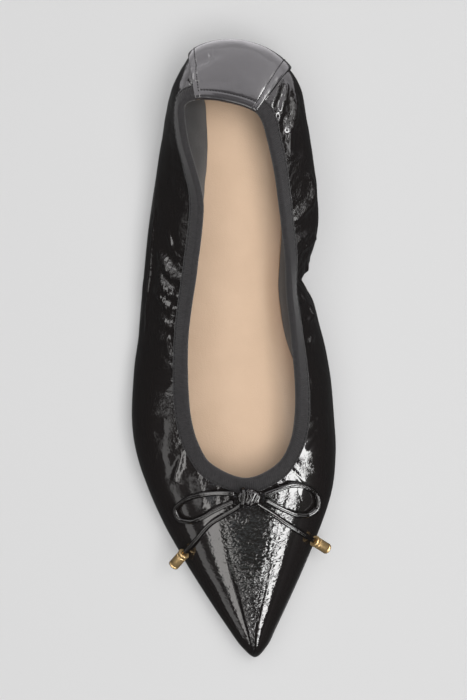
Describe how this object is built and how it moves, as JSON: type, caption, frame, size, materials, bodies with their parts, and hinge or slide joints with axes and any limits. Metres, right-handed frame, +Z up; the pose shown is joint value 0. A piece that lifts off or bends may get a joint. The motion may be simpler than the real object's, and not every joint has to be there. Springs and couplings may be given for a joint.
{
  "type": "pointed toe flat shoe",
  "caption": "Pointed toe slip-on flat for the right foot, in black patent leather, with a bound gathered collar, a heel patch and a small cord bow with metal tips",
  "frame": {"origin": "on the floor under the middle of the shoe's length and width, the bow left out", "axes": "+Z up, the toe points along -Y and the heel along +Y, the big toe side is +X and the little toe side -X"},
  "size_m": [0.0871, 0.2626, 0.0475],
  "materials": {
    "patent_leather": "crinkled patent, high gloss",
    "patch_leather": "smooth patent, high gloss",
    "lining_fabric": "matte",
    "binding_fabric": "matte ribbed tape",
    "insole_leather": "soft satin",
    "sole_rubber": "satin",
    "heel_stack": "satin black",
    "cord_leather": "gloss",
    "gold_metal": "polished gold"
  },
  "bodies": {
    "root": {"outsole": "sole_rubber", "heel_block": "heel_stack", "heel_top_piece": "sole_rubber", "insole": "insole_leather", "upper": "patent_leather", "collar_binding": "binding_fabric", "heel_patch": "patch_leather", "bow_knot": "cord_leather", "bow_loop_lateral": "cord_leather", "bow_loop_medial": "cord_leather", "bow_tail_lateral": "cord_leather", "bow_tail_medial": "cord_leather", "bow_tip_lateral": "gold_metal", "bow_tip_medial": "gold_metal"}
  },
  "joints": []
}
